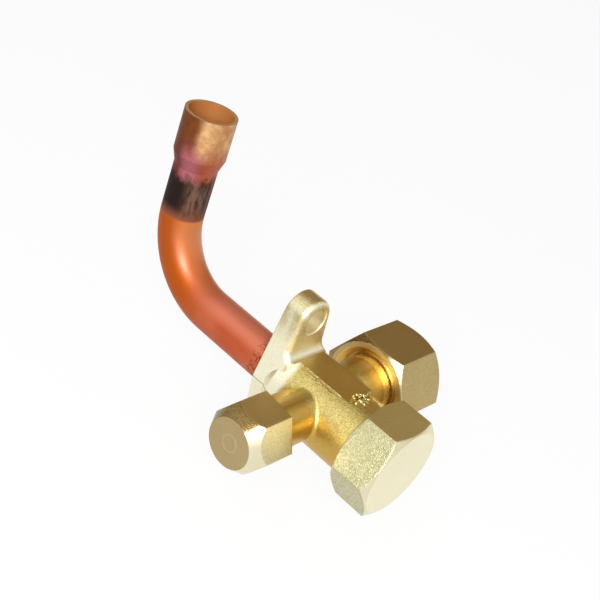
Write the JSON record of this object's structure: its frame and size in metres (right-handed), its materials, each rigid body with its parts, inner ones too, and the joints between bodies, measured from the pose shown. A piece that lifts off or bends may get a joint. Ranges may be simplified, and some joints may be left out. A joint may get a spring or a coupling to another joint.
{
  "type": "refrigerant service valve",
  "caption": "Brass stop valve for a split air conditioner: forged body on a two-hole flange, bent copper tube with belled end, flare nut, capped stem and capped charging port with a valve core",
  "frame": {"origin": "on the flange's mounting face, at the stem's axis, midway between the two bolt holes", "axes": "+X along the stem to its cap, +Y along the flare connection, -Y along the service port, +Z to the ear on the side of the tube's belled end"},
  "size_m": [0.1022, 0.0727, 0.0782],
  "materials": {
    "forged_brass": "shot-blasted satin",
    "cap_brass": "fine-grained satin",
    "turned_brass": "turned",
    "copper": "drawn, heat-stained near the bell",
    "braze": "as brazed",
    "spring_steel": "drawn",
    "black_rubber": "moulded",
    "gasket_polymer": "moulded"
  },
  "bodies": {
    "valve_body": {"valve_body": "forged_brass", "copper_tube": "copper", "braze_fillet": "braze", "stem_retaining_ring": "spring_steel", "core_plug": "turned_brass", "core_barrel": "turned_brass", "core_barrel_seal": "gasket_polymer", "core_spring": "spring_steel"},
    "stem_orings": {"stem_oring_inner": "black_rubber", "stem_oring_outer": "black_rubber"},
    "valve_stem": {"valve_stem": "turned_brass"},
    "stem_cap_gasket": {"stem_cap_gasket": "gasket_polymer"},
    "stem_cap": {"stem_cap": "cap_brass"},
    "flare_bonnet": {"flare_bonnet": "copper"},
    "flare_nut": {"flare_nut": "cap_brass"},
    "service_cap_gasket": {"service_cap_gasket": "black_rubber"},
    "service_cap": {"service_cap": "cap_brass"},
    "core_pin": {"core_pin": "turned_brass", "core_cup": "turned_brass", "core_cup_seal": "black_rubber"}
  },
  "joints": [
    {"name": "stem_advance", "type": "slide", "parent": "valve_body", "child": "stem_orings", "axis": [1, 0, 0], "range_m": [0, 0.004]},
    {"name": "stem_turn", "type": "hinge", "parent": "stem_orings", "child": "valve_stem", "pos_m": [0.03, 0, 0], "axis": [1, 0, 0], "range_deg": [0, 1440]},
    {"name": "stem_cap_advance", "type": "slide", "parent": "valve_body", "child": "stem_cap_gasket", "axis": [1, 0, 0], "range_m": [0, 0.009]},
    {"name": "stem_cap_turn", "type": "hinge", "parent": "stem_cap_gasket", "child": "stem_cap", "pos_m": [0.04, 0, 0], "axis": [1, 0, 0], "range_deg": [0, 2160]},
    {"name": "flare_nut_advance", "type": "slide", "parent": "valve_body", "child": "flare_bonnet", "axis": [0, 1, 0], "range_m": [0, 0.01111]},
    {"name": "flare_nut_turn", "type": "hinge", "parent": "flare_bonnet", "child": "flare_nut", "pos_m": [0.0173, 0.03, 0], "axis": [0, 1, 0], "range_deg": [0, 2520]},
    {"name": "service_cap_advance", "type": "slide", "parent": "valve_body", "child": "service_cap_gasket", "axis": [0, -1, 0], "range_m": [0, 0.01016]},
    {"name": "service_cap_turn", "type": "hinge", "parent": "service_cap_gasket", "child": "service_cap", "pos_m": [0.0173, -0.028, 0], "axis": [0, -1, 0], "range_deg": [0, 2880]},
    {"name": "core_press", "type": "slide", "parent": "valve_body", "child": "core_pin", "axis": [0, 1, 0], "range_m": [0, 0.0012], "stiffness_N_per_m": 3000, "springref_m": -0.0015, "deforming": ["core_spring"]}
  ],
  "couplings": [
    {"joint": "stem_advance", "follows": "stem_turn", "m_per_rad": 0.00015915},
    {"joint": "stem_cap_advance", "follows": "stem_cap_turn", "m_per_rad": 0.00023873},
    {"joint": "flare_nut_advance", "follows": "flare_nut_turn", "m_per_rad": 0.00025266},
    {"joint": "service_cap_advance", "follows": "service_cap_turn", "m_per_rad": 0.00020213}
  ]
}
